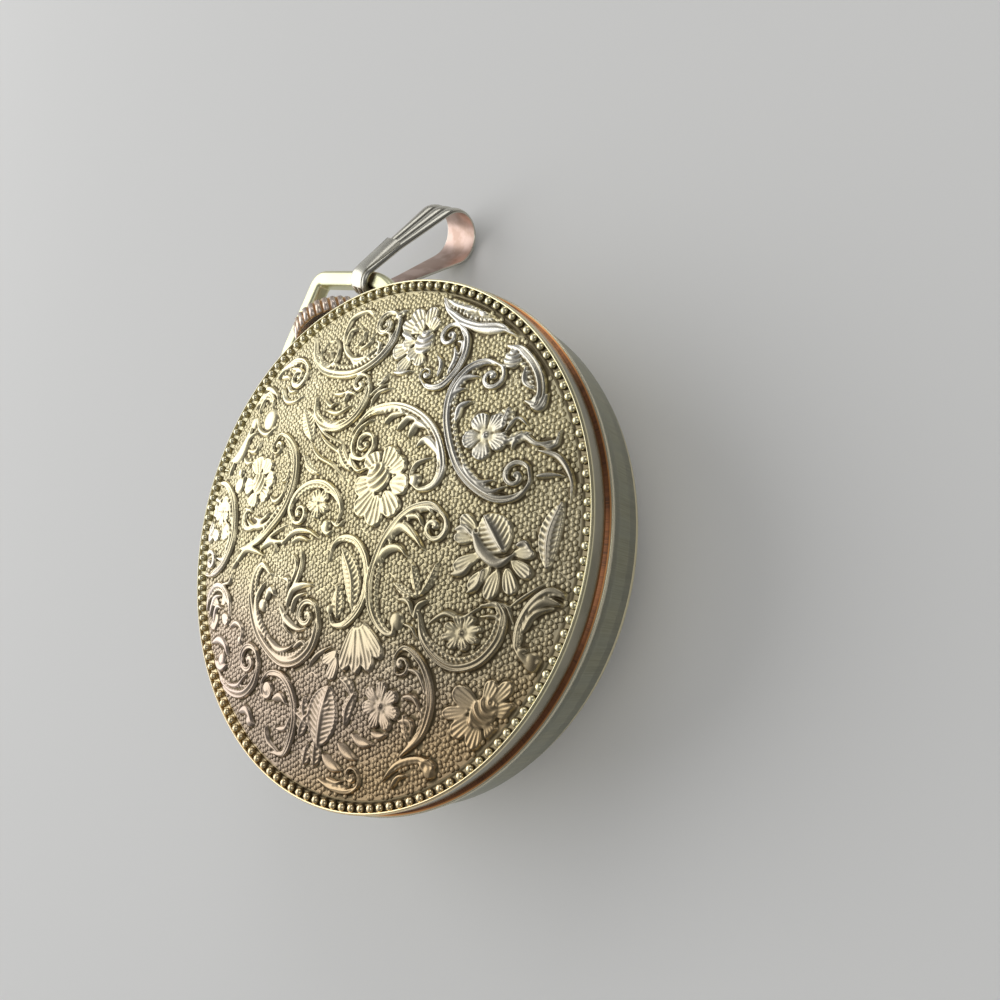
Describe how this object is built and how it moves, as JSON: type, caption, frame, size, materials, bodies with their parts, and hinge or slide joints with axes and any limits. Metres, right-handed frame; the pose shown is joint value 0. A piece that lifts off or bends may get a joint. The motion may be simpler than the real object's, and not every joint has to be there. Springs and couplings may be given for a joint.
{
  "type": "pendant watch",
  "caption": "Round pendant watch with an embossed domed back cover, beaded rim, brushed case band, ribbed crown, gable-shaped bow and fluted folded bail.",
  "frame": {"origin": "centre of the flat crystal face that the watch lies on", "axes": "+Z from the crystal to the embossed back cover along the case's axis, +Y from the case's centre to the crown and bow at 12 o'clock, +X to the right seen from the back"},
  "size_m": [0.037, 0.0465, 0.0123],
  "materials": {
    "embossed_gold": "polished relief with darker recesses",
    "case_gold": "vertically brushed band, polished lip and bezel",
    "bow_gold": "satin",
    "crown_gold": "polished, worn to a pinkish tone",
    "bail_gold": "polished, worn",
    "crystal": "clear",
    "gasket": "matte",
    "dial_silver": "fine satin",
    "gilt_steel": "polished gilt",
    "plate_nickel": "matt plated",
    "wheel_brass": "polished",
    "steel": "polished",
    "spring_steel": "blued",
    "ruby": "polished stone",
    "ring_plastic": "matt moulded"
  },
  "bodies": {
    "case": {"case_middle": "case_gold", "bezel": "case_gold", "crystal": "crystal", "crystal_gasket": "gasket", "cover_gasket": "gasket", "movement_ring": "ring_plastic", "crown_tube": "steel", "bow": "bow_gold", "dial": "dial_silver", "hour_markers": "gilt_steel", "main_plate": "plate_nickel", "barrel_bridge": "plate_nickel", "train_bridge": "plate_nickel", "pallet_bridge": "plate_nickel", "balance_cock": "plate_nickel", "crown_wheel_screw": "steel", "click_screw": "steel", "click_spring": "spring_steel", "hairspring": "spring_steel", "hairspring_stud": "wheel_brass", "yoke_spring": "spring_steel", "setting_bridge": "plate_nickel", "plate_jewels": "ruby", "bridge_jewels": "ruby", "bridge_screws": "steel", "pallet_bridge_screws": "steel", "case_clamps": "steel", "clamp_screws": "steel"},
    "cover": {"back_cover": "embossed_gold"},
    "bail": {"bail": "bail_gold"},
    "crown_slider": {"crown_gasket": "gasket"},
    "crown": {"crown": "crown_gold", "stem": "steel"},
    "sliding_pinion": {"sliding_pinion": "steel"},
    "winding_pinion": {"winding_pinion": "steel"},
    "crown_wheel": {"crown_wheel": "steel"},
    "ratchet": {"ratchet_wheel": "steel", "barrel_arbor": "steel", "ratchet_screw": "steel"},
    "click": {"click": "steel"},
    "setting_lever": {"setting_lever": "steel"},
    "yoke": {"yoke": "steel"},
    "minute_hand": {"cannon_pinion": "wheel_brass", "minute_hand": "gilt_steel"},
    "hour_hand": {"hour_wheel": "wheel_brass", "hour_hand": "gilt_steel"},
    "minute_wheel": {"minute_wheel": "wheel_brass"},
    "setting_wheel": {"setting_wheel": "wheel_brass"},
    "barrel": {"barrel": "wheel_brass", "barrel_lid": "wheel_brass", "mainspring": "spring_steel"},
    "centre_wheel": {"centre_wheel": "wheel_brass"},
    "third_wheel": {"third_wheel": "wheel_brass"},
    "fourth_wheel": {"fourth_wheel": "wheel_brass"},
    "escape_wheel": {"escape_wheel": "steel"},
    "pallet_fork": {"pallet_fork": "steel"},
    "balance": {"balance_wheel": "wheel_brass", "balance_staff": "steel", "roller": "steel"},
    "regulator": {"regulator": "steel"}
  },
  "joints": [
    {"name": "cover_off", "type": "slide", "parent": "case", "child": "cover", "axis": [0, 0, 1], "range_m": [0, 0.012]},
    {"name": "bail_swing", "type": "hinge", "parent": "case", "child": "bail", "pos_m": [0.00455, 0.02094, 0.00775], "axis": [0.654, -0.7565, 0], "range_deg": [-50, 115]},
    {"name": "crown_pull", "type": "slide", "parent": "case", "child": "crown_slider", "axis": [0, 1, 0], "range_m": [0, 0.00035]},
    {"name": "crown_turn", "type": "hinge", "parent": "crown_slider", "child": "crown", "pos_m": [0, 0.01865, 0.00775], "axis": [0, 1, 0], "continuous": true},
    {"name": "sliding_pinion_shift", "type": "slide", "parent": "crown", "child": "sliding_pinion", "axis": [0, 1, 0], "range_m": [-0.00115, 0]},
    {"name": "winding_pinion_turn", "type": "hinge", "parent": "case", "child": "winding_pinion", "pos_m": [0, 0.01865, 0.00775], "axis": [0, 1, 0], "continuous": true},
    {"name": "crown_wheel_turn", "type": "hinge", "parent": "case", "child": "crown_wheel", "pos_m": [0, 0.00766, 0.0098], "axis": [0, 0, 1], "continuous": true},
    {"name": "ratchet_turn", "type": "hinge", "parent": "case", "child": "ratchet", "pos_m": [-0.00403, 0.00268, 0.0098], "axis": [0, 0, 1], "continuous": true},
    {"name": "click_swing", "type": "hinge", "parent": "case", "child": "click", "pos_m": [-0.00357, 0.00791, 0.0098], "axis": [0, 0, 1], "range_deg": [-9, 0], "stiffness_Nm_per_rad": 0.00002},
    {"name": "setting_lever_turn", "type": "hinge", "parent": "case", "child": "setting_lever", "pos_m": [-0.003, 0.0106, 0.00565], "axis": [0, 0, 1], "range_deg": [0, 6.74]},
    {"name": "yoke_turn", "type": "hinge", "parent": "case", "child": "yoke", "pos_m": [0.0038, 0.0077, 0.0059], "axis": [0, 0, 1], "range_deg": [0, 13.02]},
    {"name": "minute_hand_turn", "type": "hinge", "parent": "case", "child": "minute_hand", "pos_m": [0, 0, 0.004], "axis": [0, 0, 1], "continuous": true},
    {"name": "hour_hand_turn", "type": "hinge", "parent": "case", "child": "hour_hand", "pos_m": [0, 0, 0.00445], "axis": [0, 0, 1], "continuous": true},
    {"name": "minute_wheel_turn", "type": "hinge", "parent": "case", "child": "minute_wheel", "pos_m": [0.00144, 0.00249, 0.00615], "axis": [0, 0, 1], "continuous": true},
    {"name": "setting_wheel_turn", "type": "hinge", "parent": "case", "child": "setting_wheel", "pos_m": [0, 0.00526, 0.00615], "axis": [0, 0, 1], "continuous": true},
    {"name": "barrel_turn", "type": "hinge", "parent": "case", "child": "barrel", "pos_m": [-0.00403, 0.00268, 0.00695], "axis": [0, 0, 1], "continuous": true},
    {"name": "centre_wheel_turn", "type": "hinge", "parent": "case", "child": "centre_wheel", "pos_m": [0, 0, 0.00885], "axis": [0, 0, 1], "continuous": true},
    {"name": "third_wheel_turn", "type": "hinge", "parent": "case", "child": "third_wheel", "pos_m": [0.00431, 0.00157, 0.00825], "axis": [0, 0, 1], "continuous": true},
    {"name": "fourth_wheel_turn", "type": "hinge", "parent": "case", "child": "fourth_wheel", "pos_m": [0.00539, -0.00245, 0.00855], "axis": [0, 0, 1], "continuous": true},
    {"name": "escape_wheel_turn", "type": "hinge", "parent": "case", "child": "escape_wheel", "pos_m": [0.00329, -0.00496, 0.00825], "axis": [0, 0, 1], "continuous": true},
    {"name": "pallet_fork_rock", "type": "hinge", "parent": "case", "child": "pallet_fork", "pos_m": [0.00038, -0.00547, 0.00825], "axis": [0, 0, 1], "range_deg": [-4, 4]},
    {"name": "balance_swing", "type": "hinge", "parent": "case", "child": "balance", "pos_m": [-0.0035, -0.00581, 0.00915], "axis": [0, 0, 1], "range_deg": [-270, 270]},
    {"name": "regulator_turn", "type": "hinge", "parent": "case", "child": "regulator", "pos_m": [-0.0035, -0.00581, 0.01047], "axis": [0, 0, 1], "range_deg": [-25, 25]}
  ],
  "couplings": [
    {"joint": "sliding_pinion_shift", "follows": "crown_pull", "ratio": -3.2857},
    {"joint": "setting_lever_turn", "follows": "crown_pull", "rad_per_m": 336.08},
    {"joint": "yoke_turn", "follows": "crown_pull", "rad_per_m": 649.4},
    {"joint": "winding_pinion_turn", "follows": "crown_turn", "ratio": 1},
    {"joint": "crown_wheel_turn", "follows": "crown_turn", "ratio": -0.83333},
    {"joint": "ratchet_turn", "follows": "crown_turn", "ratio": 0.5},
    {"joint": "hour_hand_turn", "follows": "minute_hand_turn", "ratio": 0.083333},
    {"joint": "minute_wheel_turn", "follows": "minute_hand_turn", "ratio": -0.33333},
    {"joint": "setting_wheel_turn", "follows": "minute_hand_turn", "ratio": 0.75},
    {"joint": "centre_wheel_turn", "follows": "barrel_turn", "ratio": -7.2},
    {"joint": "third_wheel_turn", "follows": "barrel_turn", "ratio": 57.6},
    {"joint": "fourth_wheel_turn", "follows": "barrel_turn", "ratio": -432},
    {"joint": "escape_wheel_turn", "follows": "barrel_turn", "ratio": 4320}
  ]
}
